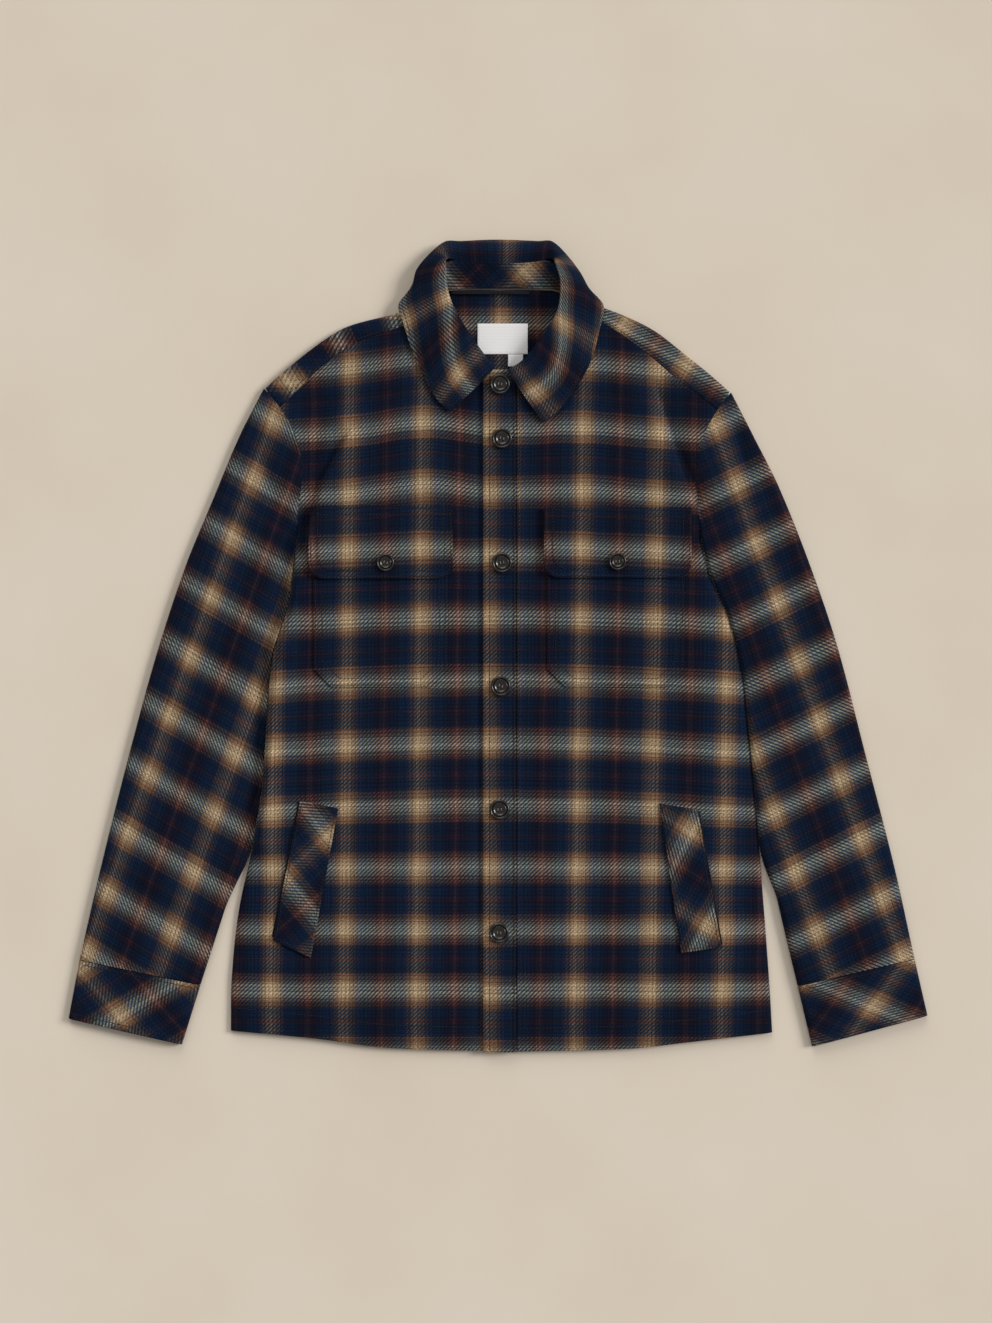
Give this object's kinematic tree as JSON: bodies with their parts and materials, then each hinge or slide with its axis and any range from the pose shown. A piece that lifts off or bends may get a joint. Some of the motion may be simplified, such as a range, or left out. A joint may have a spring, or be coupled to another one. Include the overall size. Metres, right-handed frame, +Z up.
{
  "type": "checked flannel overshirt jacket, laid flat",
  "caption": "Buttoned check flannel overshirt jacket laid flat, front up, with turned collar, yoke, bias cuffs, flapped chest pockets and slanted hip pocket welts.",
  "frame": {"origin": "middle of the jacket's box on the surface that it lies on", "axes": "+X towards the wearer's left sleeve, +Y from the hem to the collar, +Z up out of the front"},
  "size_m": [0.858, 0.8108, 0.021],
  "materials": {
    "flannel_check": "brushed twill flannel, navy, cream, rust and maroon check",
    "flannel_bias": "the same check cut on the bias",
    "button": "dark brown horn-look resin, half gloss",
    "label": "bare white woven satin",
    "tape_and_thread": "dark navy tape and sewing thread"
  },
  "bodies": {
    "root": {"back": "flannel_check", "yoke": "flannel_check", "front_right": "flannel_check", "front_left": "flannel_check", "placket": "flannel_check", "sleeve_right": "flannel_check", "sleeve_left": "flannel_check", "cuff_right": "flannel_bias", "cuff_left": "flannel_bias", "collar_leaf": "flannel_check", "collar_stand": "flannel_bias", "chest_pocket_right": "flannel_check", "chest_pocket_left": "flannel_check", "chest_flap_right": "flannel_check", "chest_flap_left": "flannel_check", "hip_welt_right": "flannel_bias", "hip_welt_left": "flannel_bias", "front_button_1": "button", "front_button_2": "button", "front_button_3": "button", "front_button_4": "button", "front_button_5": "button", "front_button_6": "button", "pocket_button_right": "button", "pocket_button_left": "button", "neck_label": "label", "size_tab": "label", "hanger_loop": "tape_and_thread"}
  },
  "joints": []
}
